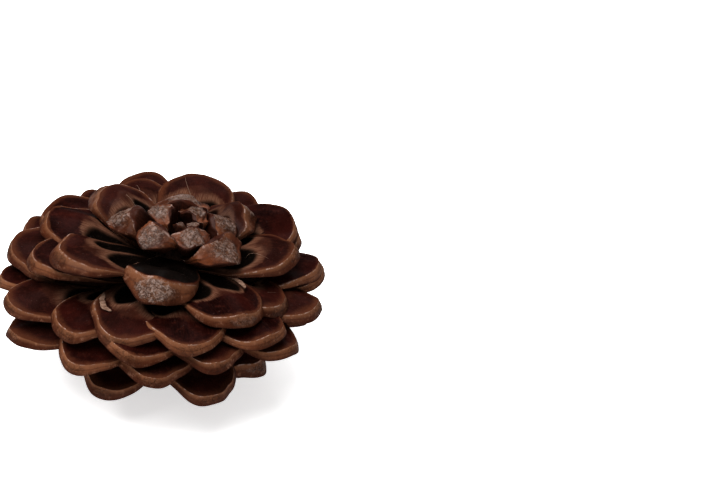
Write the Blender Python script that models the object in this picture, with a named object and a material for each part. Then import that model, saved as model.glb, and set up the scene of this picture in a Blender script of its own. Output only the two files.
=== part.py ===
"""An open, dry stone pine cone standing upright on its cut stalk.

Thick rounded scales grow from a woody core on an even spiral. They are small
and steep at the crown, broad and nearly level round the middle, and shorter
at the foot. Core and scales are one body.
"""
import math
import random

import bmesh
import bpy
import numpy as np
from mathutils import Vector

MM = 0.001

# The spiral: number of places, turn from one place to the next, bearing of the first
PLACES = 61
TURN_STEP = math.radians(-137.77)
FIRST_BEARING = math.radians(179.0)
# Places on the spiral where no scale opened
EMPTY_PLACES = (3, 10, 11, 13)

# Even steps from the crown (first value) to the foot (last value), in millimetres
TIP_REACH = (6.0, 18.0, 29.0, 41.0, 51.0, 53.0, 54.5, 55.5, 56.5, 50.5, 38.5)
TIP_HEIGHT = (61.0, 57.5, 52.0, 45.5, 40.5, 37.0, 34.0, 31.5, 28.0, 19.5, 8.5)
ROOT_HEIGHT = (53.0, 49.0, 45.0, 41.0, 36.5, 33.0, 30.0, 27.0, 23.5, 19.5, 14.5)
SHRINK = (1.0, 1.0, 1.0, 1.0, 1.0, 1.0, 1.0, 0.97, 0.92, 0.86, 0.80)

# By how far a scale's tip reaches from the axis: half width, thickness, lean of the end's
# face as a share of the thickness, and depth of the seed pockets as a share of the full one
REACH_STEPS = (0.0, 12.0, 20.0, 28.0, 35.0, 41.0, 46.0, 60.0)
HALF_WIDTH = (5.0, 5.4, 7.0, 8.0, 9.8, 13.4, 13.8, 14.2)
THICKNESS = (5.6, 7.2, 8.8, 9.4, 9.6, 9.6, 6.6, 6.0)
END_BEVEL = (0.90, 0.90, 0.85, 0.80, 0.70, 0.50, 0.32, 0.30)
OPENNESS = (0.0, 0.0, 0.0, 0.1, 0.7, 1.0, 1.0, 1.0)
# Two stunted scales beside the tip of the axis, and the crown scales that are broader
NUBS = (2, 4)
NUB_SIZE = 0.55
BROAD = {6: 1.45, 8: 1.25, 12: 1.2, 14: 1.1}

# Scales that stand off the even spiral: turn in degrees, reach and lift in millimetres
OFFSETS = {
    0: (10, 1, 0), 1: (-14, 3, -1), 2: (24, -3, 0), 4: (-3, -4, 0), 5: (30, 2, -2),
    6: (5, -2, 0), 7: (8, -3, 0), 8: (20, -1, -2), 9: (-8, -1, -1), 12: (2, -2, 0),
    14: (-14, 1, -2), 15: (-8, 2, -2), 17: (0, 5, -1), 18: (-7, 2, 3), 19: (-5, 4, 1),
    20: (1, 3, -2), 21: (0, -2, 0), 22: (2, 1, 2), 23: (3, 2, -4), 24: (-6, -1, -2),
    25: (-6, -5, -2), 26: (-1, -4, 3), 31: (5, -1, -3), 39: (0, 2, -2), 44: (4, 1, -4),
    45: (2, 4, 7), 51: (0, -4, 1), 52: (-3, 5, 0), 54: (-8, 0, -4), 57: (2, 1, -2),
}

# The woody core, as height and radius, from the flat cut of the stalk upwards
CORE_SIDES = 8
CORE = ((0.0, 7.0), (1.6, 8.2), (8.0, 9.4), (24.0, 9.2), (40.0, 8.0), (53.0, 5.0))
CORE_CAP = 2.0
ROOT_DEPTH = 0.5
# The core leans over at the crown: how far, at its top
CROWN_LEAN = (5.0, -2.0)

# The form of one scale, as shares of its length, half width or thickness
ARCH = 0.045
DROOP = 0.04
END_START = 0.70
SETBACK_LIMIT = 0.42
SIDE_BEVEL = 0.07
KEEL_DROP = 0.66
KEEL_LIFT = 0.30
CREASE_FALL = 0.22
BEVEL_FADE = 0.40
UNDER_SETBACK = 0.80
UNDER_ROUND = 2.5
ROOT_THICKNESS = 0.38
ROOT_WIDTH = 0.36
SWELL_START = 0.40
SWELL_LENGTH = 0.42
RIDGE = 0.10
RIDGE_HALF_WIDTH = 0.50
POCKET_DEPTH = 0.28
POCKET_RUN = 0.49
POCKET_HALF_LENGTH = 0.17
POCKET_ACROSS = 0.42
POCKET_HALF_WIDTH = 0.35
SEED = 41

# One scale's ring of stations: kind of face, and place across the scale
STATIONS = (
    ("keel", 1.0), ("top", 1.0), ("top", 0.46), ("top", 0.0), ("top", -0.46),
    ("top", -1.0), ("keel", -1.0), ("under", -0.5), ("under", 0.0), ("under", 0.5),
)
# Its rings: turns round the end in degrees, then shares of the length down to the root
END_TURNS = (20.0, 46.0, 80.0)
BODY_RUNS = (0.52, 0.24, 0.0)


def clear_scene():
    """Remove what the file opens with."""
    for obj in list(bpy.data.objects):
        bpy.data.objects.remove(obj, do_unlink=True)


def smooth(value):
    """An even rise from 0 to 1."""
    value = min(1.0, max(0.0, value))
    return value * value * (3.0 - 2.0 * value)


def hump(value):
    """An even rise and fall, 1 at 0 and 0 from -1 and 1 outwards."""
    return smooth(1.0 - abs(value))


def read(values, share):
    """Read a row of evenly spaced values at a share of its length."""
    return float(np.interp(share * (len(values) - 1), range(len(values)), values))


def core_centre(height):
    """Where the core's middle stands at a height."""
    lean = (height / CORE[-1][0]) ** 2
    return Vector((CROWN_LEAN[0] * lean, CROWN_LEAN[1] * lean))


def core_radius(height):
    """How thick the core is at a height."""
    return float(np.interp(height, [ring[0] for ring in CORE], [ring[1] for ring in CORE]))


def scale_at(place):
    """The measures of the scale at one place on the spiral."""
    share = (place + 0.5) / PLACES
    turn, reach_off, lift = OFFSETS.get(place, (0, 0, 0))
    draw = random.Random(SEED + place)
    bearing = FIRST_BEARING + place * TURN_STEP + math.radians(turn)
    reach = read(TIP_REACH, share) + reach_off
    root_height = read(ROOT_HEIGHT, share)
    centre = core_centre(root_height)
    run = Vector((math.cos(bearing), math.sin(bearing))) * reach - centre
    size = read(SHRINK, share) * (NUB_SIZE if place in NUBS else 1.0)
    width = float(np.interp(reach, REACH_STEPS, HALF_WIDTH)) * size * BROAD.get(place, 1.0)
    width *= draw.uniform(0.95, 1.05)
    thick = float(np.interp(reach, REACH_STEPS, THICKNESS)) * size
    thick *= draw.uniform(0.94, 1.06)
    root_radius = min(ROOT_DEPTH * core_radius(root_height), 0.45 * run.length)
    height = read(TIP_HEIGHT, share) + lift
    most = SETBACK_LIMIT * math.hypot(run.length - root_radius, height - root_height)
    return {
        "centre": centre,
        "bearing": math.atan2(run.y, run.x),
        "reach": run.length,
        "height": height,
        "root_radius": root_radius,
        "root_height": root_height,
        "width": width,
        "thick": thick,
        "roll": math.radians(draw.uniform(-5.0, 5.0)),
        "bevel": min(thick * float(np.interp(reach, REACH_STEPS, END_BEVEL)), most),
        "under_setback": min(thick * UNDER_SETBACK, most),
        "openness": float(np.interp(reach, REACH_STEPS, OPENNESS)),
    }


def centre_line(scale, run):
    """Point and direction of the scale's middle line, in the upright plane of its bearing."""
    root = Vector((scale["root_radius"], scale["root_height"]))
    tip = Vector((scale["reach"], scale["height"]))
    chord = tip - root
    over = Vector((-chord.y, chord.x)) * ARCH * 2.0
    bend = root + chord * 0.5 + over
    point = root * (1 - run) ** 2 + bend * 2 * run * (1 - run) + tip * run ** 2
    direction = (bend - root) * 2 * (1 - run) + (tip - bend) * 2 * run
    return point, direction.normalized()


def stand(scale, outward, side, height):
    """Turn a point from the scale's own upright plane to where the scale stands."""
    cos_b = math.cos(scale["bearing"])
    sin_b = math.sin(scale["bearing"])
    across = Vector((outward * cos_b - side * sin_b, outward * sin_b + side * cos_b))
    across += scale["centre"]
    return Vector((across.x, across.y, height)) * MM


def rings():
    """Share of the length and of the half width, ring by ring from the tip to the root."""
    outline = []
    for turn in END_TURNS:
        turn = math.radians(turn)
        outline.append((END_START + (1.0 - END_START) * math.cos(turn), math.sin(turn)))
    for run in BODY_RUNS:
        widening = math.sin(math.pi / 2 * run / END_START)
        outline.append((run, ROOT_WIDTH + (1.0 - ROOT_WIDTH) * widening))
    return outline


def pocket_depth(scale, run, across):
    """How far the inner face is sunk where a seed lay."""
    along = (run - POCKET_RUN) / POCKET_HALF_LENGTH
    aside = (abs(across) - POCKET_ACROSS) / POCKET_HALF_WIDTH
    depth = POCKET_DEPTH * scale["thick"] * scale["openness"]
    return depth * smooth(2.0 - 2.0 * math.hypot(along, aside))


def scale_point(scale, run, spread, kind, across):
    """One point on the skin of a scale."""
    width = scale["width"] * spread
    swell = smooth((run - SWELL_START) / SWELL_LENGTH)
    aside = 1.0 - max(0.0, run - END_START) / (1.0 - END_START)
    thick = scale["thick"] * (ROOT_THICKNESS + (1.0 - ROOT_THICKNESS) * swell)
    face = KEEL_DROP * thick
    droop = -DROOP * width * across * across
    keel = droop + KEEL_LIFT * face * aside
    side = across * width
    back = 0.0
    rise = keel
    if kind == "top":
        side *= 1.0 - SIDE_BEVEL * swell
        back = scale["bevel"] * run * run * (1.0 - BEVEL_FADE * aside)
        ridge = RIDGE * scale["thick"] * hump(across / RIDGE_HALF_WIDTH)
        rise = droop + face * (1.0 - CREASE_FALL * aside * across * across)
        rise += ridge - pocket_depth(scale, run, across)
    elif kind == "under":
        inward = 1.0 - abs(across) ** UNDER_ROUND
        rise = keel + (droop - (thick - face) - keel) * inward
        back = scale["under_setback"] * run * run * inward
    point, direction = centre_line(scale, run)
    normal = Vector((-direction.y, direction.x))
    rise = rise + side * math.sin(scale["roll"])
    flat = point - direction * back + normal * rise
    return stand(scale, flat.x, side * math.cos(scale["roll"]), flat.y)


def build_scale(place):
    """A ball whose rings and poles are drawn out into one scale."""
    scale = scale_at(place)
    turns = rings()
    mesh = bpy.data.meshes.new("scale")
    form = bmesh.new()
    bmesh.ops.create_uvsphere(form, u_segments=len(STATIONS), v_segments=len(turns) + 1, radius=1.0)
    for vert in form.verts:
        polar = math.acos(max(-1.0, min(1.0, vert.co.z)))
        ring = round(polar / math.pi * (len(turns) + 1)) - 1
        if ring < 0:
            vert.co = scale_point(scale, 1.0, 0.0, "keel", 0.0)
        elif ring >= len(turns):
            point = centre_line(scale, 0.0)[0]
            vert.co = stand(scale, point.x, 0.0, point.y)
        else:
            angle = math.atan2(vert.co.y, vert.co.x)
            kind, across = STATIONS[round(angle / (2.0 * math.pi) * len(STATIONS)) % len(STATIONS)]
            run, spread = turns[ring]
            vert.co = scale_point(scale, run, spread, kind, across)
    bmesh.ops.triangulate(form, faces=form.faces[:])
    bmesh.ops.recalc_face_normals(form, faces=form.faces[:])
    form.to_mesh(mesh)
    form.free()
    return bpy.data.objects.new("scale_%02d" % place, mesh)


def build_core():
    """The woody core: a ball drawn out into rings, its lower pole in the flat cut of the stalk."""
    mesh = bpy.data.meshes.new("pine_cone")
    form = bmesh.new()
    bmesh.ops.create_uvsphere(form, u_segments=CORE_SIDES, v_segments=len(CORE) + 1, radius=1.0)
    for vert in form.verts:
        polar = math.acos(max(-1.0, min(1.0, -vert.co.z)))
        ring = round(polar / math.pi * (len(CORE) + 1)) - 1
        flat = Vector((vert.co.x, vert.co.y, 0.0)).normalized()
        if ring < 0:
            vert.co = Vector((0.0, 0.0, CORE[0][0])) * MM
        elif ring >= len(CORE):
            top = core_centre(CORE[-1][0])
            vert.co = Vector((top.x, top.y, CORE[-1][0] + CORE_CAP)) * MM
        else:
            height, radius = CORE[ring]
            middle = core_centre(height)
            vert.co = (flat * radius + Vector((middle.x, middle.y, height))) * MM
    bmesh.ops.triangulate(form, faces=form.faces[:])
    bmesh.ops.recalc_face_normals(form, faces=form.faces[:])
    form.to_mesh(mesh)
    form.free()
    obj = bpy.data.objects.new("pine_cone", mesh)
    bpy.context.scene.collection.objects.link(obj)
    return obj


def fuse(base, parts):
    """Join the scales to the core as one body and drop what they were made from."""
    group = bpy.data.collections.new("scales")
    bpy.context.scene.collection.children.link(group)
    for part in parts:
        group.objects.link(part)
    union = base.modifiers.new("union", "BOOLEAN")
    union.operation = "UNION"
    union.operand_type = "COLLECTION"
    union.collection = group
    union.solver = "MANIFOLD"
    graph = bpy.context.evaluated_depsgraph_get()
    joined = bpy.data.meshes.new_from_object(base.evaluated_get(graph))
    base.modifiers.clear()
    base.data = joined
    for part in parts:
        bpy.data.objects.remove(part, do_unlink=True)
    bpy.data.collections.remove(group)


def keep_outer_skin(obj):
    """Keep the largest connected skin: loose scraps and sealed hollows go."""
    form = bmesh.new()
    form.from_mesh(obj.data)
    left = set(form.faces)
    skins = []
    while left:
        seed = left.pop()
        skin = [seed]
        queue = [seed]
        while queue:
            for edge in queue.pop().edges:
                for face in edge.link_faces:
                    if face in left:
                        left.remove(face)
                        skin.append(face)
                        queue.append(face)
        skins.append(skin)
    skins.sort(key=len, reverse=True)
    for skin in skins[1:]:
        bmesh.ops.delete(form, geom=skin, context="FACES")
    loose = [vert for vert in form.verts if not vert.link_faces]
    bmesh.ops.delete(form, geom=loose, context="VERTS")
    bmesh.ops.triangulate(form, faces=form.faces[:])
    form.to_mesh(obj.data)
    form.free()


def cone_wood():
    """Dry reddish brown cone wood."""
    material = bpy.data.materials.new("cone_wood")
    material.use_nodes = True
    shader = material.node_tree.nodes["Principled BSDF"]
    shader.inputs["Base Color"].default_value = (0.115, 0.045, 0.026, 1.0)
    shader.inputs["Roughness"].default_value = 0.6
    shader.inputs["Metallic"].default_value = 0.0
    return material


clear_scene()
cone = build_core()
fuse(cone, [build_scale(place) for place in range(PLACES) if place not in EMPTY_PLACES])
keep_outer_skin(cone)
cone.data.materials.clear()
cone.data.materials.append(cone_wood())
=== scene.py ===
"""Looks of an open, dry stone pine cone that stands on its cut stalk."""

import math
import random

import bmesh
import bpy
import numpy as np
from mathutils import Matrix, Vector, noise


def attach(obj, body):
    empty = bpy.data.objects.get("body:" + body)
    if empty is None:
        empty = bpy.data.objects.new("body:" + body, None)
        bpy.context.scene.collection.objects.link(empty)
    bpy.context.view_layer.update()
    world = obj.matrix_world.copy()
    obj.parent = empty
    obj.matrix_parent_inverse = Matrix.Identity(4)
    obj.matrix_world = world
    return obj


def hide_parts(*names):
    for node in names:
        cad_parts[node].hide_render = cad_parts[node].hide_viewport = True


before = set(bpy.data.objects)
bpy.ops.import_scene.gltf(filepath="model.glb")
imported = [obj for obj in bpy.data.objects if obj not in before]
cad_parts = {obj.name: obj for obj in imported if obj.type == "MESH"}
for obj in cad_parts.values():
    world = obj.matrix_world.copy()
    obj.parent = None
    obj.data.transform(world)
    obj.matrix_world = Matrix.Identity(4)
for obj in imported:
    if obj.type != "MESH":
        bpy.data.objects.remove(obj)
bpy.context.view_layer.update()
world_scene = bpy.context.scene

# Camera: it looks down on the cone from the front, 35 degrees above the floor and
# 0.8 m off, through a long lens. The cone stands left of the picture's middle and
# its core leans 5 degrees to the right there.
PICTURE = (720.0, 499.0)
STALK_IN_PICTURE = (158.0, 360.0)
LENS_PIXELS = 2320.0
FILM_WIDTH = 36.0
VIEW_DROP = math.radians(35.0)
VIEW_ROLL = math.radians(5.0)
VIEW_DISTANCE = 0.8


def frame_of(forward, upward):
    """A turned set of axes from a forward and an upward direction."""
    forward = forward.normalized()
    upward = (upward - forward * upward.dot(forward)).normalized()
    return Matrix((forward, upward, forward.cross(upward))).transposed()


def photo_camera():
    """The camera that sees the foot of the stalk at its pixel of the picture."""
    right = STALK_IN_PICTURE[0] - PICTURE[0] / 2
    up = PICTURE[1] / 2 - STALK_IN_PICTURE[1]
    rolled_up = Vector((math.sin(VIEW_ROLL), math.cos(VIEW_ROLL), 0.0))
    in_camera = frame_of(Vector((right, up, -LENS_PIXELS)), rolled_up)
    down = Vector((0.0, math.cos(VIEW_DROP), -math.sin(VIEW_DROP)))
    in_world = frame_of(down, Vector((0.0, 0.0, 1.0)))
    turn = (in_world @ in_camera.inverted()).to_4x4()
    camera = bpy.data.cameras.new("camera")
    camera.sensor_width = FILM_WIDTH
    camera.lens = LENS_PIXELS / PICTURE[0] * FILM_WIDTH
    stand = bpy.data.objects.new("camera", camera)
    stand.matrix_world = Matrix.Translation(-down * VIEW_DISTANCE) @ turn
    world_scene.collection.objects.link(stand)
    world_scene.camera = stand


photo_camera()

# Floor and light: a wide white sheet that glows a little, as a light table does, a large
# soft lamp high on the left, a small one behind, a weak one low in front, and an even
# pale sky.
FLOOR_SIZE = 6.0
FLOOR_GREY = 0.95
FLOOR_GLOW = 0.60
FLOOR_ROUGHNESS = 0.9
KEY_PLACE = Vector((-0.40, -0.18, 1.15))
KEY_SIZE = 1.2
KEY_WATTS = 32.0
BACK_PLACE = Vector((0.10, 0.90, 0.80))
BACK_SIZE = 0.6
BACK_WATTS = 4.0
FRONT_PLACE = Vector((0.25, -1.00, 0.45))
FRONT_SIZE = 0.8
FRONT_WATTS = 1.4
LAMP_TARGET = Vector((0.0, 0.0, 0.03))
PURE_WHITE = (1.0, 1.0, 1.0, 1.0)
SKY_STRENGTH = 0.36
PICTURE_GAMMA = 0.86


def lamp(name, place, size, watts):
    """A square soft lamp that faces the cone."""
    light = bpy.data.lights.new(name, "AREA")
    light.shape = "SQUARE"
    light.size = size
    light.energy = watts
    stand = bpy.data.objects.new(name, light)
    stand.location = place
    stand.rotation_euler = (LAMP_TARGET - place).to_track_quat("-Z", "Y").to_euler()
    world_scene.collection.objects.link(stand)


def white_floor():
    """One flat square sheet under the stalk's cut."""
    form = bmesh.new()
    bmesh.ops.create_grid(form, x_segments=1, y_segments=1, size=FLOOR_SIZE / 2)
    mesh = bpy.data.meshes.new("floor")
    form.to_mesh(mesh)
    form.free()
    floor = bpy.data.objects.new("floor", mesh)
    paint = bpy.data.materials.new("floor_white")
    paint.use_nodes = True
    shader = paint.node_tree.nodes["Principled BSDF"]
    shader.inputs["Base Color"].default_value = (FLOOR_GREY, FLOOR_GREY, FLOOR_GREY, 1.0)
    shader.inputs["Roughness"].default_value = FLOOR_ROUGHNESS
    shader.inputs["Emission Color"].default_value = PURE_WHITE
    shader.inputs["Emission Strength"].default_value = FLOOR_GLOW
    mesh.materials.append(paint)
    world_scene.collection.objects.link(floor)


def pale_sky():
    """The same white light from every side."""
    sky = bpy.data.worlds.new("sky")
    sky.use_nodes = True
    background = sky.node_tree.nodes["Background"]
    background.inputs["Color"].default_value = PURE_WHITE
    background.inputs["Strength"].default_value = SKY_STRENGTH
    world_scene.world = sky


lamp("key", KEY_PLACE, KEY_SIZE, KEY_WATTS)
lamp("fill", BACK_PLACE, BACK_SIZE, BACK_WATTS)
lamp("front", FRONT_PLACE, FRONT_SIZE, FRONT_WATTS)
white_floor()
pale_sky()
world_scene.view_settings.view_transform = "Standard"
world_scene.view_settings.gamma = PICTURE_GAMMA

# Scales: thick woody tongues on a spiral round the core, grown in one piece with it.
# Each has a smooth maroon inner face with two black seed pockets, and a blunt ochre
# end. On the crown scales and a few others the end has a grey, wrinkled patch.
MM = 0.001
# The spiral: places, turn from one to the next, the first one's bearing, empty places
PLACES = 61
TURN_STEP = math.radians(-137.77)
FIRST_BEARING = math.radians(179.0)
EMPTY_PLACES = (3, 10, 11, 13)
# Even steps from the crown to the foot: tip and root in millimetres, size as a share
TIP_REACH = (6.0, 18.0, 29.0, 41.0, 51.0, 53.0, 54.5, 55.5, 56.5, 50.5, 38.5)
TIP_HEIGHT = (61.0, 57.5, 52.0, 45.5, 40.5, 37.0, 34.0, 31.5, 28.0, 19.5, 8.5)
ROOT_HEIGHT = (53.0, 49.0, 45.0, 41.0, 36.5, 33.0, 30.0, 27.0, 23.5, 19.5, 14.5)
SHRINK = (1.0, 1.0, 1.0, 1.0, 1.0, 1.0, 1.0, 0.97, 0.92, 0.86, 0.80)
# By how far a tip reaches from the axis: half width and thickness in millimetres, the
# end's lean as a share of the thickness, and how far the scale has opened
REACH_STEPS = (0.0, 12.0, 20.0, 28.0, 35.0, 41.0, 46.0, 60.0)
HALF_WIDTH = (5.0, 5.4, 7.0, 8.0, 9.8, 13.4, 13.8, 14.2)
THICKNESS = (5.6, 7.2, 8.8, 9.4, 9.6, 9.6, 6.6, 6.0)
END_BEVEL = (0.90, 0.90, 0.85, 0.80, 0.70, 0.50, 0.32, 0.30)
OPENNESS = (0.0, 0.0, 0.0, 0.1, 0.7, 1.0, 1.0, 1.0)
# Two stunted scales beside the axis' tip, the crown scales that are broader, and the
# scales that stand off the even spiral: turn in degrees, reach and lift in millimetres
NUBS = (2, 4)
NUB_SIZE = 0.55
BROAD = {6: 1.45, 8: 1.25, 12: 1.2, 14: 1.1}
OFFSETS = {
    0: (10, 1, 0), 1: (-14, 3, -1), 2: (24, -3, 0), 4: (-3, -4, 0), 5: (30, 2, -2),
    6: (5, -2, 0), 7: (8, -3, 0), 8: (20, -1, -2), 9: (-8, -1, -1), 12: (2, -2, 0),
    14: (-14, 1, -2), 15: (-8, 2, -2), 17: (0, 5, -1), 18: (-7, 2, 3), 19: (-5, 4, 1),
    20: (1, 3, -2), 21: (0, -2, 0), 22: (2, 1, 2), 23: (3, 2, -4), 24: (-6, -1, -2),
    25: (-6, -5, -2), 26: (-1, -4, 3), 31: (5, -1, -3), 39: (0, 2, -2), 44: (4, 1, -4),
    45: (2, 4, 7), 51: (0, -4, 1), 52: (-3, 5, 0), 54: (-8, 0, -4), 57: (2, 1, -2),
}
# The core that they root in: heights and radii, lean of its top, depth of the roots
CORE = ((0.0, 7.0), (1.6, 8.2), (8.0, 9.4), (24.0, 9.2), (40.0, 8.0), (53.0, 5.0))
CROWN_LEAN = (5.0, -2.0)
ROOT_DEPTH = 0.5
ROOT_LIMIT = 0.45
# Least and most of what is drawn for each scale
SEED = 41
WIDTH_DRAW = (0.95, 1.05)
THICKNESS_DRAW = (0.94, 1.06)
ROLL_DRAW = (-5.0, 5.0)
POINT_DRAW = (0.85, 1.22)
RIDGE_DRAW = (0.6, 1.4)
TIP_LIFT_DRAW = (0.14, 0.42)
KEEL_LIFT_DRAW = (0.40, 0.64)
BLACK_SHARE_MOST = 0.25
PATCH_MOST = 0.5
# The scale with a black hollow, scales with a strong patch, and the foot's scales, which
# are duller and hang less below
BLACK_FACE_PLACE = 15
WHITE = {14: 0.8, 15: 1.0}
FOOT_SHARE = 0.78
FOOT_KEEL_LIFT = 0.10
DULL_SHARE = 0.85
DULL_TONE = 0.95
# The tip stays this far inside the solid's, in millimetres
EASE = 0.5
EASE_DOWN = 0.1
# Form along a scale, as shares of its length: where the end and the swelling start
END_START = 0.70
SWELL_START = 0.40
SWELL_LENGTH = 0.42
ROOT_THICKNESS = 0.38
NECK = 0.36
ARCH = 0.045
# Form across it, as shares of half width or thickness
DROOP = 0.04
SIDE_BEVEL = 0.07
SIDE_FLATNESS = 2.5
KEEL_DROP = 0.66
CREASE_FALL = 0.22
UNDER_SETBACK = 0.80
SETBACK_LIMIT = 0.42
TOP_SETBACK_EASE = 0.4
CROWN_DOME = 0.03
# The ridge along the middle of the inner face: height, half width, rounded top, from
# where it rises, and where it fades to half
RIDGE = 0.20
RIDGE_HALF_WIDTH = 0.80
RIDGE_ROUND = 0.06
RIDGE_START = 0.2
RIDGE_RISE = 0.3
RIDGE_FADE_START = 0.66
RIDGE_FADE = 0.30
# The hollows beside the ridge, and the two seed pockets
DISH = 0.07
DISH_PLACE = 0.55
DISH_HALF_WIDTH = 0.45
POCKET_DEPTH = 0.30
POCKET_SLOPE = 0.45
POCKET_RUN = 0.49
POCKET_HALF_LENGTH = 0.17
POCKET_TAIL = 0.50
POCKET_ACROSS = 0.42
POCKET_HALF_WIDTH = 0.35
# Slow and quick waves, each with its height and turns across, the quick one also with
# its turns along: of the side edges, of the whole scale, of the end's set-back in mm
EDGE_WAVES = ((0.045, 3.1), (0.028, 7.3, 5.0))
WARP_WAVES = ((0.062, 2.2), (0.036, 4.6, 6.0))
RAGGED_WAVES = ((0.60, 5.0), (0.18, 14.0, 0.0))
RAGGED_MEAN = 0.78
RAGGED_START = 0.3
WARP_START = 0.3
WARP_LENGTH = 0.4
TIP_WAVE = 0.09
TIP_WAVE_TURNS = 5.6
CUSP = 0.5
CUSP_HALF_WIDTH = 0.18
# The end's face: how it bellies, its patch, and knobs by their turns across and up
BELLY = 0.06
BELLY_EASE = 0.35
PATCH_SWELL = 0.05
PATCH_SLOPE = 0.7
PATCH_REACH = (0.34, 0.36)
PATCH_HEIGHT = (0.40, 0.25)
KNOBS = ((9.0, 3.0), (4.0, 7.0))
FINE_KNOBS = ((17.0, -6.0), (0.0, 15.0))
FINE_KNOB_SHARE = 0.6
KNOB_HEIGHT = (0.12, 0.50)
KNOB_FULL_THICKNESS = 7.0
SIDE_PUSH = 0.6
# Rows of points: up the end's face, over the inner face, under; round the end, along
# the body. Zones that the points belong to.
RIM_ROWS = 10
TOP_ROWS = 40
UNDER_ROWS = 16
END_ROWS = 34
BODY_ROWS = 34
END_FACE = 0.0
INNER_FACE = 1.0
UNDERSIDE = 2.0


def read(values, share):
    """Read a row of evenly spaced values at a share of its length."""
    return float(np.interp(share * (len(values) - 1), range(len(values)), values))


def core_centre(height):
    """Where the core's middle stands at a height."""
    lean = (height / CORE[-1][0]) ** 2
    return Vector((CROWN_LEAN[0] * lean, CROWN_LEAN[1] * lean))


def core_radius(height):
    """How thick the core is at a height."""
    return float(np.interp(height, [ring[0] for ring in CORE], [ring[1] for ring in CORE]))


def scale_at(place):
    """The measures of the scale at one place on the spiral."""
    share = (place + 0.5) / PLACES
    turn, reach_off, lift = OFFSETS.get(place, (0, 0, 0))
    draw = random.Random(SEED + place)
    bearing = FIRST_BEARING + place * TURN_STEP + math.radians(turn)
    reach = read(TIP_REACH, share) + reach_off
    root_height = read(ROOT_HEIGHT, share)
    centre = core_centre(root_height)
    run = Vector((math.cos(bearing), math.sin(bearing))) * reach - centre
    size = read(SHRINK, share) * (NUB_SIZE if place in NUBS else 1.0)
    width = float(np.interp(reach, REACH_STEPS, HALF_WIDTH)) * size * BROAD.get(place, 1.0)
    thick = float(np.interp(reach, REACH_STEPS, THICKNESS)) * size
    crown = 1.0 - float(np.interp(reach, REACH_STEPS, OPENNESS))
    width *= draw.uniform(*WIDTH_DRAW)
    thick *= draw.uniform(*THICKNESS_DRAW)
    root_radius = min(ROOT_DEPTH * core_radius(root_height), ROOT_LIMIT * run.length)
    height = read(TIP_HEIGHT, share) + lift
    most = SETBACK_LIMIT * math.hypot(run.length - root_radius, height - root_height)
    foot_lift = FOOT_KEEL_LIFT if share > FOOT_SHARE else 0.0
    return {
        "centre": centre,
        "bearing": math.atan2(run.y, run.x),
        "reach": run.length - EASE,
        "height": height - EASE_DOWN,
        "root_radius": root_radius,
        "root_height": root_height,
        "width": width,
        "thick": thick,
        "roll": math.radians(draw.uniform(*ROLL_DRAW)),
        "bevel": min(thick * float(np.interp(reach, REACH_STEPS, END_BEVEL)), most),
        "under_setback": min(thick * UNDER_SETBACK, most),
        "point": draw.uniform(*POINT_DRAW),
        "wave": [draw.uniform(0.0, 2.0 * math.pi) for _ in range(4)],
        "tone": max(draw.random(), DULL_TONE if share > DULL_SHARE else 0.0),
        "ridge": draw.uniform(*RIDGE_DRAW),
        "crown": crown,
        "tip_lift": draw.uniform(*TIP_LIFT_DRAW) * (1.0 - crown) * (place != BLACK_FACE_PLACE),
        "black_share": 1.0 if place == BLACK_FACE_PLACE else BLACK_SHARE_MOST * draw.random(),
        "white": WHITE.get(place, max(crown, PATCH_MOST * draw.random() ** 3)),
        "keel_lift": draw.uniform(*KEEL_LIFT_DRAW) + foot_lift,
    }


def smooth(value):
    """An even rise from 0 to 1."""
    value = np.clip(value, 0.0, 1.0)
    return value * value * (3.0 - 2.0 * value)


def two_waves(waves, across, along, starts):
    """A slow and a quick wave over a scale."""
    (slow, slow_turns), (quick, quick_turns, turns_along) = waves
    first = slow * np.sin(slow_turns * across + starts[0])
    return first + quick * np.sin(quick_turns * across + starts[1] + turns_along * along)


def knobs(turns, across, up, starts):
    """Rounded knobs where two waves cross."""
    (first_across, first_up), (second_across, second_up) = turns
    first = np.sin(first_across * across + first_up * up + starts[0])
    return first * np.sin(second_across * across + second_up * up + starts[1])


def stations():
    """Round a scale: zone, place across, height on the end's face."""
    ring = [(END_FACE, 1.0, row / RIM_ROWS) for row in range(RIM_ROWS)]
    ring += [(INNER_FACE, 1.0 - 2.0 * row / TOP_ROWS, 1.0) for row in range(TOP_ROWS)]
    ring += [(END_FACE, -1.0, 1.0 - row / RIM_ROWS) for row in range(RIM_ROWS)]
    ring += [(UNDERSIDE, -1.0 + 2.0 * row / UNDER_ROWS, 0.0) for row in range(UNDER_ROWS)]
    return np.array(ring)


def rings():
    """Along a scale from the tip: angle round the end, place along the body."""
    ends = [(math.pi / 2 * row / END_ROWS, 0.0) for row in range(END_ROWS + 1)]
    body = [(math.pi / 2, row / BODY_ROWS) for row in range(1, BODY_ROWS + 1)]
    return np.array(ends + body)


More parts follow.
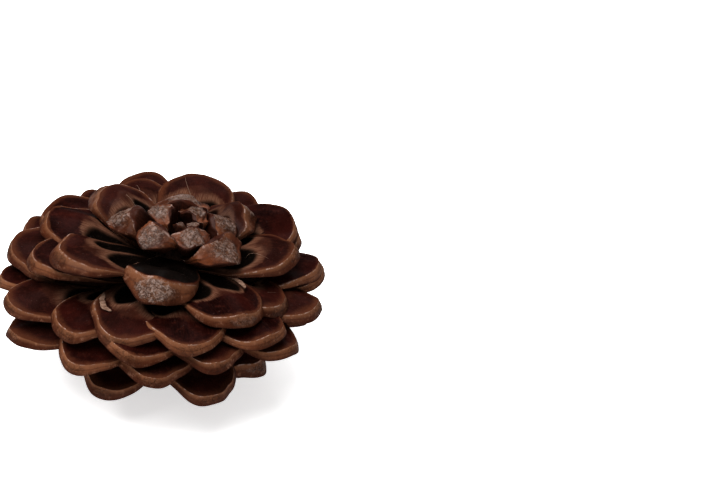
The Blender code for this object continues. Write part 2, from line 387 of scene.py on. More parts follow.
def scale_template():
    """A ball drawn together along a line at the tip, and the ring and station of each point."""
    around = stations()
    along = len(rings()) + 1
    form = bmesh.new()
    bmesh.ops.create_uvsphere(form, u_segments=len(around), v_segments=along, radius=1.0)
    ring_of = form.verts.layers.int.new("ring")
    station_of = form.verts.layers.int.new("station")
    for vert in form.verts:
        polar = math.acos(max(-1.0, min(1.0, vert.co.z)))
        vert[ring_of] = round(polar / math.pi * along) - 1
        angle = math.atan2(vert.co.y, vert.co.x)
        vert[station_of] = round(angle / (2.0 * math.pi) * len(around)) % len(around)
    pole = [vert for vert in form.verts if vert[ring_of] < 0]
    bmesh.ops.delete(form, geom=pole, context="VERTS")
    line = {}
    onto = {}
    for vert in form.verts:
        if vert[ring_of] == 0:
            height = round(around[vert[station_of]][2], 3)
            target = line.setdefault(height, vert)
            if target != vert:
                onto[vert] = target
    bmesh.ops.weld_verts(form, targetmap=onto)
    ring = np.array([vert[ring_of] for vert in form.verts])
    station = np.array([vert[station_of] for vert in form.verts])
    mesh = bpy.data.meshes.new("scale")
    form.to_mesh(mesh)
    form.free()
    return mesh, ring, station


def centre_line(scale, run):
    """Outward place and height of the middle line, and its direction, at each run."""
    root = np.array((scale["root_radius"], scale["root_height"]))
    tip = np.array((scale["reach"], scale["height"]))
    chord = tip - root
    bend = root + chord * 0.5 + np.array((-chord[1], chord[0])) * ARCH * 2.0
    run = run[:, None]
    point = root * (1 - run) ** 2 + bend * 2 * run * (1 - run) + tip * run ** 2
    direction = (bend - root) * 2 * (1 - run) + (tip - bend) * 2 * run
    return point, direction / np.linalg.norm(direction, axis=1)[:, None]


def pocket_field(run, across, tail):
    """1 in the middle of a seed pocket and 0 at its edge, with a tail towards the root."""
    length = np.where(run > POCKET_RUN, POCKET_HALF_LENGTH, tail)
    aside = (np.abs(across) - POCKET_ACROSS) / POCKET_HALF_WIDTH
    return 1.0 - np.hypot((run - POCKET_RUN) / length, aside)


def ridge_height(scale, run, lateral):
    """How high the ridge stands along the middle of the inner face."""
    ridge = np.maximum(0.0, 1.0 - np.hypot(lateral, RIDGE_ROUND) / RIDGE_HALF_WIDTH)
    rise = smooth((run - RIDGE_START) / RIDGE_RISE)
    fade = 1.0 - 0.5 * smooth((run - RIDGE_FADE_START) / RIDGE_FADE)
    return ridge * RIDGE * scale["ridge"] * scale["thick"] * rise * fade


def dish_depth(scale, run, across, lateral, swell):
    """How deep the inner face is hollowed; the crown's scales are domed instead."""
    opened = 1.0 - scale["crown"]
    beside = smooth(1.0 - np.abs((np.abs(lateral) - DISH_PLACE) / DISH_HALF_WIDTH))
    dish = DISH * scale["thick"] * beside * swell * (1.0 - across ** 6) * opened
    pocket = smooth(pocket_field(run, across, POCKET_HALF_LENGTH) / POCKET_SLOPE)
    dish = dish + POCKET_DEPTH * scale["thick"] * pocket * opened
    return dish - CROWN_DOME * scale["thick"] * (1.0 - across * across) * scale["crown"] * swell


def end_push(scale, lateral, face, patch, belly, thick, swell):
    """How far the end's face bellies out, with the patch proud in its middle, and knobs."""
    wave = scale["wave"]
    lumps = knobs(KNOBS, lateral, face, (wave[2], wave[3]))
    lumps = lumps + FINE_KNOB_SHARE * knobs(FINE_KNOBS, lateral, face, (wave[0], wave[1]))
    height = KNOB_HEIGHT[0] + KNOB_HEIGHT[1] * scale["crown"]
    height = height * min(1.0, scale["thick"] / KNOB_FULL_THICKNESS) ** 2
    push = (BELLY * belly + PATCH_SWELL * smooth(patch / PATCH_SLOPE)) * thick * swell
    return push - BELLY_EASE * belly ** 0.5 + height * lumps * belly * swell


def end_setback(scale, lateral):
    """How far the end's edge is worn back, in uneven waves and two sides of a small cusp."""
    wave = scale["wave"]
    lip_highlight = RAGGED_MEAN + two_waves(RAGGED_WAVES, lateral, 0.0, (wave[0], wave[3]))
    return lip_highlight + CUSP * (1.0 - np.exp(-(lateral / CUSP_HALF_WIDTH) ** 2))


def scale_skin(scale, ring, station):
    """Every point of a scale's skin, and the fields that its wood is coloured by."""
    turns = rings()
    last = len(turns) - 1
    theta, down = turns[np.clip(ring, 0, last)].T
    zone, across, face = stations()[station].T
    tip = ring == 0
    root_pole = ring > last
    in_body = down > 0
    across = np.where(tip | root_pole, 0.0, across)
    zone = np.where(tip, END_FACE, np.where(root_pole, UNDERSIDE, zone))
    wave = scale["wave"]

    # along the scale and across it
    end_run = END_START + (1.0 - END_START) * np.cos(theta)
    run = np.where(in_body, END_START * (1.0 - down), end_run)
    taper = 1.0 - np.clip((run - END_START) / (1.0 - END_START), 0.0, 1.0)
    swell = smooth((run - SWELL_START) / SWELL_LENGTH)
    body_spread = NECK + (1.0 - NECK) * np.sin(math.pi / 2 * run / END_START)
    spread = np.where(in_body, body_spread, np.sin(theta) ** scale["point"])
    lateral = across * spread
    width = scale["width"] * spread * (1.0 + two_waves(EDGE_WAVES, lateral, run, wave[0:2]))
    thick = scale["thick"] * (ROOT_THICKNESS + (1.0 - ROOT_THICKNESS) * swell)
    outward_end = np.where(in_body, 0.0, np.cos(theta))
    outward_side = np.where(in_body, 1.0, np.sin(theta))

    # heights of the keel, of the crease between end and inner face, and of the belly below
    face_height = KEEL_DROP * thick
    warp = scale["width"] * two_waves(WARP_WAVES, lateral, run, wave[2:4])
    droop = -DROOP * width * across * across + warp * smooth((run - WARP_START) / WARP_LENGTH)
    tip_keel = scale["tip_lift"] + TIP_WAVE * np.sin(TIP_WAVE_TURNS * lateral + wave[1])
    keel = droop + face_height * (scale["keel_lift"] * taper + tip_keel * (1.0 - taper))
    crease = droop + face_height * (1.0 - CREASE_FALL * taper * across * across)
    crease = crease + ridge_height(scale, run, lateral)
    inward = 1.0 - np.abs(across) ** SIDE_FLATNESS
    inner_rise = crease - dish_depth(scale, run, across, lateral, swell)
    end_rise = keel + (crease - keel) * face
    under_rise = keel + (droop - (1.0 - KEEL_DROP) * thick - keel) * inward
    rise = np.where(zone == END_FACE, end_rise, under_rise)
    rise = np.where(zone == INNER_FACE, inner_rise, rise)

    # how far each point is set aside, and back from the tip
    side_face = across * width * (1.0 - SIDE_BEVEL * swell * face)
    side = np.where(zone == UNDERSIDE, across * width, side_face)
    back_top = scale["bevel"] * run * run * (1.0 - TOP_SETBACK_EASE * taper)
    back_under = scale["under_setback"] * run * run * inward
    back = np.where(zone == END_FACE, back_top * face, back_under)
    back = np.where(zone == INNER_FACE, back_top, back)
    patch_reach = PATCH_REACH[0] + PATCH_REACH[1] * scale["white"]
    patch_height = PATCH_HEIGHT[0] + PATCH_HEIGHT[1] * scale["crown"]
    patch = 1.0 - np.hypot(lateral / patch_reach, (face - 0.5) / patch_height)
    patch = np.where((zone == END_FACE) & ~in_body, patch, -1.0)
    belly = np.sin(math.pi * face) * (zone == END_FACE)
    push = end_push(scale, lateral, face, patch, belly, thick, swell)
    back = back + end_setback(scale, lateral) * smooth(taper / RAGGED_START) - push * outward_end
    side = side + push * np.sign(across) * outward_side * SIDE_PUSH

    # rolled, laid along the arched middle line and turned to its bearing
    point, direction = centre_line(scale, run)
    normal = np.stack((-direction[:, 1], direction[:, 0]), axis=1)
    rise = rise + side * math.sin(scale["roll"])
    flat = point - direction * back[:, None] + normal * rise[:, None]
    flat = np.where(root_pole[:, None], point, flat)
    side = np.where(root_pole, 0.0, side * math.cos(scale["roll"]))
    cos_b = math.cos(scale["bearing"])
    sin_b = math.sin(scale["bearing"])
    skin = np.stack((
        flat[:, 0] * cos_b - side * sin_b + scale["centre"].x,
        flat[:, 0] * sin_b + side * cos_b + scale["centre"].y,
        flat[:, 1],
    ), axis=1) * MM
    fields = {
        "run": run,
        "across": lateral,
        "rim": (zone == END_FACE) * 1.0,
        "face": face,
        "edge": 1.0 - np.hypot(outward_end, across * outward_side),
        "pocket": np.where(zone == INNER_FACE, pocket_field(run, across, POCKET_TAIL), -1.0),
        "umbo": patch,
        "under": (zone == UNDERSIDE) * 1.0,
    }
    for name in ("tone", "crown", "white", "black_share"):
        fields[name] = np.full(len(run), scale[name])
    return skin, fields


class Value:
    """A shader number: plain arithmetic on it adds Math nodes."""

    def __init__(self, wood, socket):
        self.wood = wood
        self.socket = socket

    def math(self, operation, first, second):
        """The outcome of one Math node."""
        node = self.wood.node("ShaderNodeMath", {"operation": operation}, {0: first, 1: second})
        return Value(self.wood, node.outputs[0])

    def __add__(self, other):
        return self.math("ADD", self, other)

    __radd__ = __add__

    def __mul__(self, other):
        return self.math("MULTIPLY", self, other)

    __rmul__ = __mul__

    def __sub__(self, other):
        return self.math("SUBTRACT", self, other)

    def __rsub__(self, other):
        return self.math("SUBTRACT", other, self)

    def between(self, low, high):
        """0 at the first value, 1 at the second, smooth in between."""
        settings = {"interpolation_type": "SMOOTHSTEP"}
        sockets = {"Value": self, "From Min": low, "From Max": high}
        node = self.wood.node("ShaderNodeMapRange", settings, sockets)
        return Value(self.wood, node.outputs["Result"])

    def band(self, start, full, fade, end):
        """A band: up from the first value to the second, down from the third to the last."""
        return self.between(start, full) * (1.0 - self.between(fade, end))


class Wood:
    """One material and the nodes it is mixed from."""

    def __init__(self, name):
        self.material = bpy.data.materials.new(name)
        self.material.use_nodes = True
        self.tree = self.material.node_tree
        self.shader = self.tree.nodes["Principled BSDF"]

    def node(self, kind, settings, sockets):
        """A node of this type, with its settings made before its sockets are filled."""
        node = self.tree.nodes.new(kind)
        for name, setting in settings.items():
            setattr(node, name, setting)
        for name, given in sockets.items():
            self.feed(node.inputs[name], given)
        return node

    def feed(self, socket, given):
        """Fill a socket with a plain value or a link."""
        given = given.socket if isinstance(given, Value) else given
        if isinstance(given, bpy.types.NodeSocket):
            self.tree.links.new(given, socket)
        else:
            socket.default_value = given

    def place(self):
        """The place of a point on the cone."""
        return self.node("ShaderNodeTexCoord", {}, {}).outputs["Object"]

    def field(self, name):
        """A number stored on the points of the mesh."""
        node = self.node("ShaderNodeAttribute", {"attribute_name": name}, {})
        return Value(self, node.outputs["Fac"])

    def grain(self, place, count, detail, rough=0.6):
        """Cloudy noise on a place, with so many clouds to its unit."""
        sockets = {"Vector": place, "Scale": count, "Detail": detail, "Roughness": rough}
        node = self.node("ShaderNodeTexNoise", {}, sockets)
        return Value(self, node.outputs["Fac"])

    def blend(self, share, first, second):
        """A colour between two."""
        node = self.node("ShaderNodeMix", {"data_type": "RGBA"}, {0: share, 6: first, 7: second})
        return node.outputs[2]

    def layer(self, low_shade, value, layer, where=1.0):
        """A layer of colour over another: full where the value and the place call for it."""
        colour, strength, start, full = layer
        return self.blend(value.between(start, full) * strength * where, low_shade, colour)

    def bump(self, height, depth, strength):
        """Relief that the light catches."""
        sockets = {"Height": height, "Distance": depth, "Strength": strength}
        node = self.node("ShaderNodeBump", {}, sockets)
        self.feed(self.shader.inputs["Normal"], node.outputs["Normal"])


def shade(red, green, blue):
    """A colour as the shader wants it."""
    return (red, green, blue, 1.0)


# Noises of the wood: how many clouds to a metre, detail and roughness. Streaks and
# hairs count along and across the scale instead, and differ from scale to scale.
CLOUDS = (90.0, 4.0)
FINE = (900.0, 3.0)
FLECKS = (420.0, 5.0, 0.75)
WRINKLES = (520.0, 4.0)
CLEFTS = (400.0, 3.0)
DUST = (1500.0, 2.0)
STREAKS = (1.6, 4.0)
HAIRS = (5.0, 2.0)
STREAKS_ALONG = 6.0
STREAKS_ACROSS = 34.0
STREAKS_SHIFT = 19.0
# Layers of colour: the colour, how strongly it covers, and the values of its noise or
# field where it starts and where it is full. Inner face, from maroon to black:
MAROON_DEEP = shade(0.0052, 0.0007, 0.0006)
MAROON = (shade(0.023, 0.0034, 0.0022), 1.0, 0.35, 0.68)
MAROON_STREAKS = (shade(0.030, 0.0072, 0.0044), 0.5, 0.45, 0.75)
MAROON_DRY = (shade(0.032, 0.0088, 0.0060), 0.35, 0.5, 1.0)
MAROON_FLECKS = (shade(0.055, 0.0130, 0.0080), 0.35, 0.50, 0.68)
INNER_LIP = shade(0.078, 0.026, 0.0125)
INNER_LIP_STRENGTH = 0.8
INNER_LIP_WIDTH = (0.05, 0.15)
INNER_LIP_UNEVEN = (0.10, 0.22)
WING_TAN = shade(0.070, 0.025, 0.0140)
WING_COVER = (0.25, 0.60)
WING_PALE = (shade(0.155, 0.082, 0.052), 0.6, 0.35, 0.60)
WING_END = 0.76
WING_ROUND = 0.20
WING_UNEVEN = (0.05, 0.12, 0.08)
WING_EDGE = 0.018
WING_NEAR = (-0.70, -0.10)
WING_NEAR_UNEVEN = 0.5
POCKET_BLACK = (shade(0.0035, 0.0022, 0.0016), 1.0, -0.12, 0.20)
POCKET_UNEVEN = (0.6, 0.35, 0.25)
FACE_BLACK = shade(0.0030, 0.0022, 0.0018)
FACE_BLACK_FROM = (0.5, 0.9)
FACE_BLACK_EDGE = (0.04, 0.13)
FACE_BLACK_UNEVEN = 0.10
# Painted shade on the crown scales' flanks, near black towards the root, then the flank's own
# colour:
FLANK_ROOT_SHADE = shade(0.005, 0.0014, 0.0010)
FLANK = (shade(0.034, 0.0090, 0.0045), 1.0, 0.50, 0.92)
FLANK_STREAKS = (shade(0.060, 0.016, 0.008), 0.5, 0.4, 0.75)
FLANK_FROM = (0.1, 0.7)
PALE_HAIRS = (shade(0.095, 0.052, 0.042), 0.35, 0.64, 0.74)
# Painted shade, near black, on the inner face towards the root:
ROOT_SHADE = shade(0.006, 0.003, 0.0022)
ROOT_SHADE_END = (0.18, 0.40)
# End's face, from ochre to the silvery spots, with painted shade below, on its sides and on the
# keel, and painted light and highlights along its top:
OCHRE_DEEP = shade(0.060, 0.0180, 0.0078)
OCHRE = (shade(0.120, 0.046, 0.0215), 1.0, 0.35, 0.65)
# Painted shade, dark red-brown, on the lower part of the end's face:
END_LOW_SHADE = shade(0.024, 0.0060, 0.0032)
END_LOW_SHADE_STRENGTH = 0.65
END_LOW_SHADE_END = 0.45
OCHRE_STREAKS = (shade(0.135, 0.062, 0.036), 0.35, 0.5, 0.8)
CROWN_BROWN = shade(0.036, 0.0095, 0.0042)
CROWN_BROWN_STRENGTH = 0.75
CROWN_ORANGE = (shade(0.130, 0.037, 0.0130), 0.8, 0.42, 0.62)
# Painted shade on the sides, towards the root:
SIDE_SHADE = shade(0.020, 0.006, 0.004)
SIDE_SHADE_STRENGTH = 0.8
SIDE_SHADE_END = (0.45, 0.72)
DULL_BROWN = (shade(0.034, 0.0095, 0.0056), 0.55, 0.60, 0.95)
DARK_FLECKS = (shade(0.030, 0.0088, 0.0045), 0.5, 0.50, 0.70)
PALE_FLECKS = shade(0.225, 0.120, 0.078)
PALE_FLECKS_STRENGTH = 0.40
PALE_FLECKS_END = (0.32, 0.47)
# Painted light on the upper part of the end's face:
END_TOP_LIGHT = (shade(0.182, 0.084, 0.044), 0.6, 0.40, 1.0)
END_TOP_LIGHT_CROWN = 0.8
# Painted shade of the keel, across the middle of the end's face:
KEEL_SHADE = (shade(0.030, 0.0090, 0.0050), 0.4, 0.35, 0.55)
KEEL_SHADE_BAND = (0.40, 0.50, 0.50, 0.60)
# Painted highlight along the top lip:
LIP_HIGHLIGHT = shade(0.340, 0.245, 0.210)
LIP_HIGHLIGHT_FROM = (0.84, 0.98)
LIP_HIGHLIGHT_COVER = (0.65, 0.10)
PATCH_BROWN = shade(0.092, 0.045, 0.027)
PATCH_SILVER = shade(0.300, 0.226, 0.197)
PATCH_CRACK = shade(0.038, 0.017, 0.011)
PATCH_UNEVEN = (1.1, 1.3)
PATCH_EDGE = (0.0, 0.40)
PATCH_FROM = (0.15, 0.8)
PATCH_COVER = (0.85, 0.15)
FOLD_BAND = (0.40, 0.48, 0.50, 0.58)
FOLD_SILVER = 0.5
BLOTCH_FROM = (0.47, 0.60)
BLOTCH_SILVER = 0.4
CRACK_BAND = (0.455, 0.50, 0.50, 0.545)
CRACK_COVER = 0.6
# Underside, and dust over all
UNDER_DEEP = shade(0.022, 0.007, 0.005)
UNDER_BROWN = (shade(0.052, 0.018, 0.011), 1.0, 0.3, 0.7)
DUST_GREY = (shade(0.220, 0.180, 0.165), 0.22, 0.68, 0.80)
# Finish: dry and matt, a faint waxy gloss on the clean faces, more on the crown
ROUGHNESS = 0.42
ROUGHNESS_RIM = 0.22
ROUGHNESS_FINE = 0.18
ROUGHNESS_CLOUDS = 0.06
ROUGHNESS_POCKET = 0.2
POCKET_MATT = (-0.06, 0.06)
GLOSS = (0.045, 0.04, 0.16)
GLOSS_POCKET = (-0.10, 0.04)
GLOSS_RUN = (0.30, 0.50)
GLOSS_CLOUDS = (0.2, 0.6)
GLOSS_ROUGHNESS = 0.38
RELIEF = (0.35, 0.25, 0.2)
RELIEF_FOLDS = 0.5
RELIEF_CRACKS = 0.9
RELIEF_PATCH = (-0.1, 0.3)
RELIEF_DEPTH = 0.0007
RELIEF_STRENGTH = 0.8


def inner_wood(wood, at):
    """Inner face: maroon, with tan wing marks, black pockets, a browner lip and painted shade
    towards the root.
    """
    clouds, streaks, flecks, run, tone, edge = (
        at[name] for name in ("clouds", "streaks", "flecks", "run", "tone", "edge"))
    uneven_clouds = clouds - 0.5
    uneven_streaks = streaks - 0.5
    mottle = flecks - 0.5
    inner = wood.layer(MAROON_DEEP, clouds, MAROON)
    inner = wood.layer(inner, streaks, MAROON_STREAKS)
    inner = wood.layer(inner, tone, MAROON_DRY)
    inner = wood.layer(inner, flecks, MAROON_FLECKS)
    lip = edge + INNER_LIP_UNEVEN[0] * uneven_clouds + INNER_LIP_UNEVEN[1] * mottle
    lip = 1.0 - lip.between(0.0, INNER_LIP_WIDTH[0] + INNER_LIP_WIDTH[1] * tone)
    inner = wood.blend(lip * INNER_LIP_STRENGTH, inner, INNER_LIP)
    # tan marks round the pockets' outer ends, where the seeds' wings lay
    margin = WING_END - WING_ROUND * at["across"] * at["across"] + WING_UNEVEN[0] * uneven_streaks
    margin = margin + WING_UNEVEN[1] * (tone - 0.5) + WING_UNEVEN[2] * mottle
    wing = 1.0 - (run - margin).between(-WING_EDGE, WING_EDGE)
    near = (at["pocket"] + WING_NEAR_UNEVEN * mottle).between(*WING_NEAR)
    inner = wood.blend(wing * (WING_COVER[0] + WING_COVER[1] * near), inner, WING_TAN)
    inner = wood.layer(inner, streaks, WING_PALE, wing * near)
    black = at["pocket"] + POCKET_UNEVEN[0] * at["black_share"]
    black = black + POCKET_UNEVEN[1] * uneven_clouds + POCKET_UNEVEN[2] * uneven_streaks
    inner = wood.layer(inner, black, POCKET_BLACK)
    # one scale's inner face is painted black inside its lip, and on the other scales the black
    # pockets spread a little at random
    hollow = (edge + FACE_BLACK_UNEVEN * uneven_streaks).between(*FACE_BLACK_EDGE)
    inner = wood.blend(at["black_share"].between(*FACE_BLACK_FROM) * hollow, inner, FACE_BLACK)
    # crown scales: orange brown flanks, with painted shade that makes them near black towards the
    # root, down between the crown scales
    flank = wood.layer(FLANK_ROOT_SHADE, run, FLANK)
    flank = wood.layer(flank, streaks, FLANK_STREAKS)
    inner = wood.blend(at["crown"].between(*FLANK_FROM), inner, flank)
    inner = wood.layer(inner, at["hairs"], PALE_HAIRS)
    # painted shade: towards the root, down in the gap at the core, the inner face is laid over
    # with near black
    return wood.blend(1.0 - run.between(*ROOT_SHADE_END), inner, ROOT_SHADE)


def end_wood(wood, at):
    """End's face: ochre, with painted shade below, on its sides and on the keel, painted light
    and a painted highlight along the top lip, and a silvery wrinkled patch.
    """
    clouds, streaks, flecks, face, crown = (
        at[name] for name in ("clouds", "streaks", "flecks", "face", "crown"))
    ochre = wood.layer(OCHRE_DEEP, clouds, OCHRE)
    # painted shade: the lower part of the end's face, which faces down, is laid over with dark
    # red-brown
    low_shade = (1.0 - face.between(0.0, END_LOW_SHADE_END)) * END_LOW_SHADE_STRENGTH
    ochre = wood.blend(low_shade, ochre, END_LOW_SHADE)
    ochre = wood.layer(ochre, streaks, OCHRE_STREAKS)
    ochre = wood.blend(crown * CROWN_BROWN_STRENGTH, ochre, CROWN_BROWN)
    ochre = wood.layer(ochre, clouds, CROWN_ORANGE, crown)
    # painted shade: the end's sides darken towards the root, where they run in between the
    # neighbouring scales
    side_shade = (1.0 - at["run"].between(*SIDE_SHADE_END)) * SIDE_SHADE_STRENGTH
    ochre = wood.blend(side_shade, ochre, SIDE_SHADE)
    ochre = wood.layer(ochre, at["tone"], DULL_BROWN, 1.0 - crown)
    ochre = wood.layer(ochre, flecks, DARK_FLECKS)
    pale = (1.0 - flecks.between(*PALE_FLECKS_END)) * PALE_FLECKS_STRENGTH
    ochre = wood.blend(pale, ochre, PALE_FLECKS)
    # painted light: the upper part of the end's face, where the light falls, is paler, less so on
    # the crown
    ochre = wood.layer(ochre, face, END_TOP_LIGHT, 1.0 - END_TOP_LIGHT_CROWN * crown)
    # painted shade: a thin uneven dark line across the middle of the end's face stands for the
    # keel's shade
    ochre = wood.layer(ochre, clouds, KEEL_SHADE, face.band(*KEEL_SHADE_BAND))
    # painted highlight: pale blotches along the top lip of the end's face, stronger on the crown
    lip_highlight = face.between(*LIP_HIGHLIGHT_FROM) * at["blotches"] * (LIP_HIGHLIGHT_COVER[0] + LIP_HIGHLIGHT_COVER[1] * crown)
    ochre = wood.blend(lip_highlight, ochre, LIP_HIGHLIGHT)
    flakes = at["folds"] * FOLD_SILVER + at["blotches"] * BLOTCH_SILVER
    silver = wood.blend(flakes, PATCH_BROWN, PATCH_SILVER)
    silver = wood.blend(at["cracks"] * CRACK_COVER, silver, PATCH_CRACK)
    patch = at["umbo"] + PATCH_UNEVEN[0] * (clouds - 0.5) + PATCH_UNEVEN[1] * (flecks - 0.5)
    patch = patch.between(*PATCH_EDGE) * at["white"].between(*PATCH_FROM)
    return wood.blend(patch * (PATCH_COVER[0] - PATCH_COVER[1] * crown), ochre, silver)


def scale_wood():
    """Dry cone wood: maroon inner face, black pockets, ochre end, grey wrinkled patch."""
    wood = Wood("cone_wood")
    place = wood.place()
    names = ("run", "across", "rim", "face", "edge", "pocket", "umbo", "under", "tone")
    at = {name: wood.field(name) for name in names + ("crown", "white", "black_share")}
    drawn_out = {
        "X": at["run"] * STREAKS_ALONG,
        "Y": at["across"] * STREAKS_ACROSS,
        "Z": at["tone"] * STREAKS_SHIFT,
    }
    along_grain = wood.node("ShaderNodeCombineXYZ", {}, drawn_out).outputs[0]
    at["streaks"] = wood.grain(along_grain, *STREAKS)
    at["hairs"] = wood.grain(along_grain, *HAIRS)
    at["clouds"] = wood.grain(place, *CLOUDS)
    at["flecks"] = wood.grain(place, *FLECKS)
    at["folds"] = wood.grain(place, *WRINKLES).band(*FOLD_BAND)
    at["cracks"] = wood.grain(place, *CLEFTS).band(*CRACK_BAND)
    at["blotches"] = at["flecks"].between(*BLOTCH_FROM)
    fine = wood.grain(place, *FINE)
    colour = wood.blend(at["rim"], inner_wood(wood, at), end_wood(wood, at))
    colour = wood.blend(at["under"], colour, wood.layer(UNDER_DEEP, at["streaks"], UNDER_BROWN))
    colour = wood.layer(colour, wood.grain(place, *DUST), DUST_GREY)
    wood.feed(wood.shader.inputs["Base Color"], colour)

    roughness = ROUGHNESS + ROUGHNESS_RIM * at["rim"] + ROUGHNESS_FINE * fine
    roughness = roughness - ROUGHNESS_CLOUDS * at["clouds"]
    roughness = roughness + ROUGHNESS_POCKET * at["pocket"].between(*POCKET_MATT)
    wood.feed(wood.shader.inputs["Roughness"], roughness)
    creases = at["folds"] * RELIEF_FOLDS - at["cracks"] * RELIEF_CRACKS
    creases = creases * at["umbo"].between(*RELIEF_PATCH)
    relief = at["streaks"] * RELIEF[0] + fine * RELIEF[1] + at["flecks"] * RELIEF[2] + creases
    wood.bump(relief, RELIEF_DEPTH, RELIEF_STRENGTH)
    clean = (1.0 - at["pocket"].between(*GLOSS_POCKET)) * at["run"].between(*GLOSS_RUN)
    gloss = clean * (1.0 - at["under"]) * at["clouds"].between(*GLOSS_CLOUDS)
    gloss = gloss * (GLOSS[0] + GLOSS[1] * at["rim"] + GLOSS[2] * at["crown"])
    wood.feed(wood.shader.inputs["Coat Weight"], gloss)
    wood.shader.inputs["Coat Roughness"].default_value = GLOSS_ROUGHNESS
    wood.shader.inputs["Specular IOR Level"].default_value = 0.0
    return wood.material


def grow_scale(place, template, ring, station, wood):
    """One scale from the template ball, with its colour fields."""
    mesh = template.copy()
    mesh.name = "scale_%02d" % place
    skin, fields = scale_skin(scale_at(place), ring, station)
    skins[place] = (skin, fields)
    mesh.vertices.foreach_set("co", skin.ravel())
    for name, values in fields.items():
        stored = mesh.attributes.new(name, "FLOAT", "POINT")
        stored.data.foreach_set("value", values.astype(np.float32))
    mesh.shade_smooth()
    mesh.materials.append(wood)
    piece = bpy.data.objects.new(mesh.name, mesh)
    world_scene.collection.objects.link(piece)
    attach(piece, "root")
    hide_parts("pine_cone")


skins = {}
template, ring, station = scale_template()
dry_wood = scale_wood()
for place in range(PLACES):
    if place not in EMPTY_PLACES:
        grow_scale(place, template, ring, station, dry_wood)
bpy.data.meshes.remove(template)

# Core: the woody axis that the scales grow from, down to the stalk's cut, which the
# cone stands on. It shows only in the gaps, and from below as a pale ringed cut.
CORE_AROUND = 48
CORE_RINGS = 60
# Shares of the rings that lie in the cut and that round the top, and the bark's ribs
CUT_SHARE = 0.08
TOP_SHARE = 0.04
CUT_EDGE = 0.9
RIB_HEIGHT = 0.03
RIB_TURNS = 3.0
RIB_DRIFT = 0.25
CORE_GRAIN = (600.0, 4.0)
BARK_DEEP = shade(0.010, 0.005, 0.004)
BARK = (shade(0.045, 0.020, 0.013), 1.0, 0.35, 0.65)
CUT_DEEP = shade(0.200, 0.110, 0.060)
CUT_PALE = (shade(0.280, 0.170, 0.100), 1.0, -1.0, 1.0)
CUT_HEIGHT = (0.0001, 0.0003)
YEAR_RINGS = 5200.0
YEAR_RINGS_UNEVEN = 5.0
BARK_DEPTH = 0.001
BARK_STRENGTH = 0.7
BARK_ROUGHNESS = 0.85
BARK_SPECULAR = 0.1


def core_wood():
    """Dark rough bark, and a pale ringed cut."""
    wood = Wood("core_wood")
    place = wood.place()
    apart = wood.node("ShaderNodeSeparateXYZ", {}, {"Vector": place})
    height = Value(wood, apart.outputs["Z"])
    length = wood.node("ShaderNodeVectorMath", {"operation": "LENGTH"}, {0: place})
    grain = wood.grain(place, *CORE_GRAIN)
    phase = Value(wood, length.outputs["Value"]) * YEAR_RINGS + grain * YEAR_RINGS_UNEVEN
    bark = wood.layer(BARK_DEEP, grain, BARK)
    cut = wood.layer(CUT_DEEP, phase.math("SINE", phase, 0.0), CUT_PALE)
    colour = wood.blend(1.0 - height.between(*CUT_HEIGHT), bark, cut)
    wood.feed(wood.shader.inputs["Base Color"], colour)
    wood.bump(grain, BARK_DEPTH, BARK_STRENGTH)
    wood.shader.inputs["Roughness"].default_value = BARK_ROUGHNESS
    wood.shader.inputs["Specular IOR Level"].default_value = BARK_SPECULAR
    return wood.material


def grow_core():
    """A ball drawn out into the core's rings, its lower pole in the middle of the cut."""
    form = bmesh.new()
    bmesh.ops.create_uvsphere(form, u_segments=CORE_AROUND, v_segments=CORE_RINGS, radius=1.0)
    top = CORE[-1][0]
    for vert in form.verts:
        share = math.acos(max(-1.0, min(1.0, -vert.co.z))) / math.pi
        flat = Vector((vert.co.x, vert.co.y, 0.0))
        flat = flat.normalized() if flat.length > 1e-6 else flat
        height = max(0.0, share - CUT_SHARE) / (1.0 - CUT_SHARE) * top
        radius = core_radius(height) * min(1.0, share / CUT_SHARE)
        spot_on_bark = Vector((flat.x * RIB_TURNS, flat.y * RIB_TURNS, height * RIB_DRIFT))
        ribs = 1.0 + RIB_HEIGHT * noise.noise(spot_on_bark) * (height > CUT_EDGE)
        radius *= min(1.0, math.sqrt(max(0.0, 1.0 - share) / TOP_SHARE)) * ribs
        middle = core_centre(height)
        vert.co = (flat * radius + Vector((middle.x, middle.y, height))) * MM
    mesh = bpy.data.meshes.new("core")
    form.to_mesh(mesh)
    form.free()
    mesh.shade_smooth()
    mesh.materials.append(core_wood())
    piece = bpy.data.objects.new("core", mesh)
    world_scene.collection.objects.link(piece)
    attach(piece, "root")
    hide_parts("pine_cone")


grow_core()

# Shreds: two torn seed wings, thin as paper, that still cling beside a pocket, and fine
# pale fibres of the same dry stuff, pulled loose on the scales round the crown.
SHRED_THICKNESS = 0.16 * MM
FIBRE_THICKNESS = 0.06 * MM
# Three spots that each wing passes over: along the scale, across it, and how high above
# it in mm. Each wing: its scale, its half width in mm, and its spots.
LEFT_SPOTS = ((0.58, -0.92, 0.5), (0.76, -0.78, 0.5), (0.79, -0.42, 0.5))
RIGHT_SPOTS = ((0.36, 0.60, 0.5), (0.50, 0.80, 1.0), (0.66, 0.70, 1.2))
WINGS = {"wing_left": (23, 1.1, LEFT_SPOTS), "wing_right": (20, 1.0, RIGHT_SPOTS)}
WING_ROWS = (16, 36)
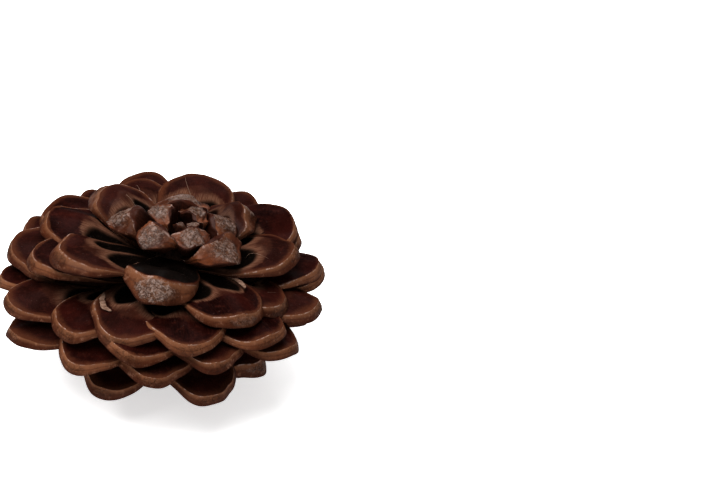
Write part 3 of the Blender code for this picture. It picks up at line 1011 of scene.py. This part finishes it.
# The fibres' scales, where they start and end along and across, how they stand off in mm
FIBRE_PLACES = range(5, 27)
FIBRE_START = ((0.45, 0.6), (-0.7, 0.7))
FIBRE_END = ((0.75, 0.95), (-0.6, 0.6))
FIBRE_ASIDE = (-1.5, 1.5)
FIBRE_LIFT = (0.4, 1.4)
FIBRE_ROWS = (6, 20)
OFF_FACE = 9.0
TORN_DEPTH = 0.5
TORN_COUNT = 900.0
STRAW_GRAIN = (700.0, 4.0)
STRAW_DEEP = shade(0.085, 0.042, 0.026)
STRAW = (shade(0.235, 0.150, 0.108), 1.0, 0.3, 0.7)
STRAW_ROUGHNESS = 0.7
STRAW_SPECULAR = 0.2


def spot(place, run, across):
    """The point of a scale's inner face nearest to a place along and across it."""
    skin, fields = skins[place]
    off = (fields["run"] - run) ** 2 + (fields["across"] - across) ** 2
    off = off + OFF_FACE * (fields["rim"] + fields["under"])
    return Vector(skin[int(np.argmin(off))])


def along_path(points, share):
    """A point and direction on a smooth path through a first, middle and last point."""
    first, middle, last = points
    bend = middle * 2.0 - (first + last) * 0.5
    point = first * (1 - share) ** 2 + bend * 2 * share * (1 - share) + last * share ** 2
    direction = (bend - first) * 2 * (1 - share) + (last - bend) * 2 * share
    return point, direction.normalized()


def straw_wood():
    """Pale straw, clouded, dry and matt."""
    wood = Wood("shred")
    colour = wood.layer(STRAW_DEEP, wood.grain(wood.place(), *STRAW_GRAIN), STRAW)
    wood.feed(wood.shader.inputs["Base Color"], colour)
    wood.shader.inputs["Roughness"].default_value = STRAW_ROUGHNESS
    wood.shader.inputs["Specular IOR Level"].default_value = STRAW_SPECULAR
    return wood.material


def draw_out(form, points, half_width, half_thickness, rows):
    """A ball pressed flat and drawn out along a path, with ragged edges."""
    around, along = rows
    ball = bmesh.ops.create_uvsphere(form, u_segments=around, v_segments=along, radius=1.0)
    for vert in ball["verts"]:
        point, direction = along_path(points, (vert.co.z + 1.0) / 2.0)
        aside = direction.cross(Vector((0.0, 0.0, 1.0))).normalized()
        upward = aside.cross(direction)
        torn = noise.noise(point * TORN_COUNT + Vector((vert.co.x, 0.0, 0.0)))
        reach = vert.co.x * half_width * (1.0 + TORN_DEPTH * torn)
        vert.co = point + aside * reach + upward * vert.co.y * half_thickness


def shred(name, form, straw):
    """Hand a finished shred over to the cone."""
    bmesh.ops.recalc_face_normals(form, faces=form.faces)
    mesh = bpy.data.meshes.new(name)
    form.to_mesh(mesh)
    form.free()
    mesh.shade_smooth()
    mesh.materials.append(straw)
    piece = bpy.data.objects.new(name, mesh)
    world_scene.collection.objects.link(piece)
    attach(piece, "root")
    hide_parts("pine_cone")


def cling_wings(straw):
    """Two torn wings that lie along the outer edge of a seed pocket."""
    for name, (place, half_width, spots) in WINGS.items():
        points = []
        for run, across, lift in spots:
            points.append(spot(place, run, across) + Vector((0.0, 0.0, lift * MM)))
        form = bmesh.new()
        draw_out(form, points, half_width * MM, SHRED_THICKNESS, WING_ROWS)
        shred(name, form, straw)


def pull_fibres(straw):
    """A fibre from the inner face of each scale round the crown, all one piece."""
    draw = random.Random(SEED)
    form = bmesh.new()
    for place in FIBRE_PLACES:
        if place in skins and place != BLACK_FACE_PLACE:
            first = spot(place, draw.uniform(*FIBRE_START[0]), draw.uniform(*FIBRE_START[1]))
            last = spot(place, draw.uniform(*FIBRE_END[0]), draw.uniform(*FIBRE_END[1]))
            aside = (draw.uniform(*FIBRE_ASIDE), draw.uniform(*FIBRE_ASIDE))
            lift = Vector((aside[0], aside[1], draw.uniform(*FIBRE_LIFT))) * MM
            middle = (first + last) / 2 + lift
            draw_out(form, (first, middle, last), FIBRE_THICKNESS, FIBRE_THICKNESS, FIBRE_ROWS)
    shred("fibres", form, straw)


straw = straw_wood()
cling_wings(straw)
pull_fibres(straw)
